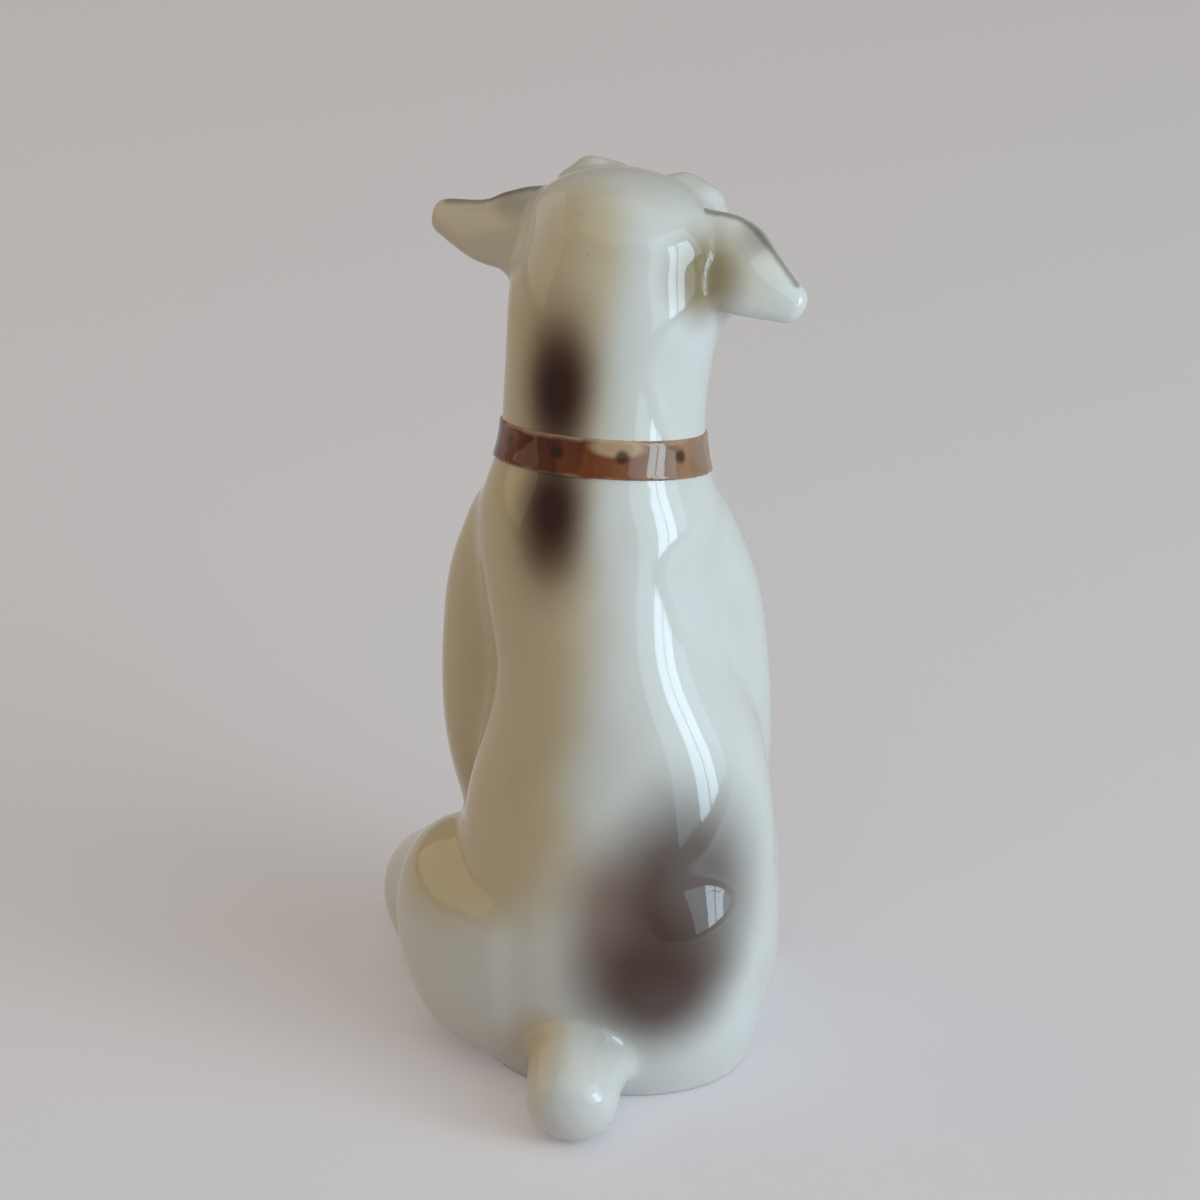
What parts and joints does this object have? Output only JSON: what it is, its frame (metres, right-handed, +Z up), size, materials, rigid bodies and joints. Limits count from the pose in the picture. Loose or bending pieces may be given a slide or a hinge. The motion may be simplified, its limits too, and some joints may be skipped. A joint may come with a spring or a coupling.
{
  "type": "porcelain dog figurine",
  "caption": "Glazed porcelain figurine of a seated terrier puppy with a brown collar, tilted head, spread ears and a stub tail; stands on its flat seat.",
  "frame": {"origin": "on the resting plane, under the middle of the figure's box", "axes": "+Z up; the dog looks along -Y; its left side is at +X"},
  "size_m": [0.043, 0.0584, 0.0864],
  "materials": {
    "porcelain": "clear glossy glaze over white porcelain, with beige and dark brown airbrushed patches under it",
    "painted_ear": "clear glossy glaze over white porcelain washed beige, dark brown inside the ear",
    "collar_enamel": "glossy reddish-brown brushed colour with a pale gold edge",
    "dark_enamel": "glossy near-black enamel"
  },
  "bodies": {
    "root": {"trunk": "porcelain", "head": "porcelain", "ear_left": "painted_ear", "ear_right": "painted_ear", "collar": "collar_enamel", "foreleg_left": "porcelain", "foreleg_right": "porcelain", "hind_leg_left": "porcelain", "hind_leg_right": "porcelain", "tail": "porcelain", "nose": "dark_enamel", "eye_left": "dark_enamel", "eye_right": "dark_enamel"}
  },
  "joints": []
}
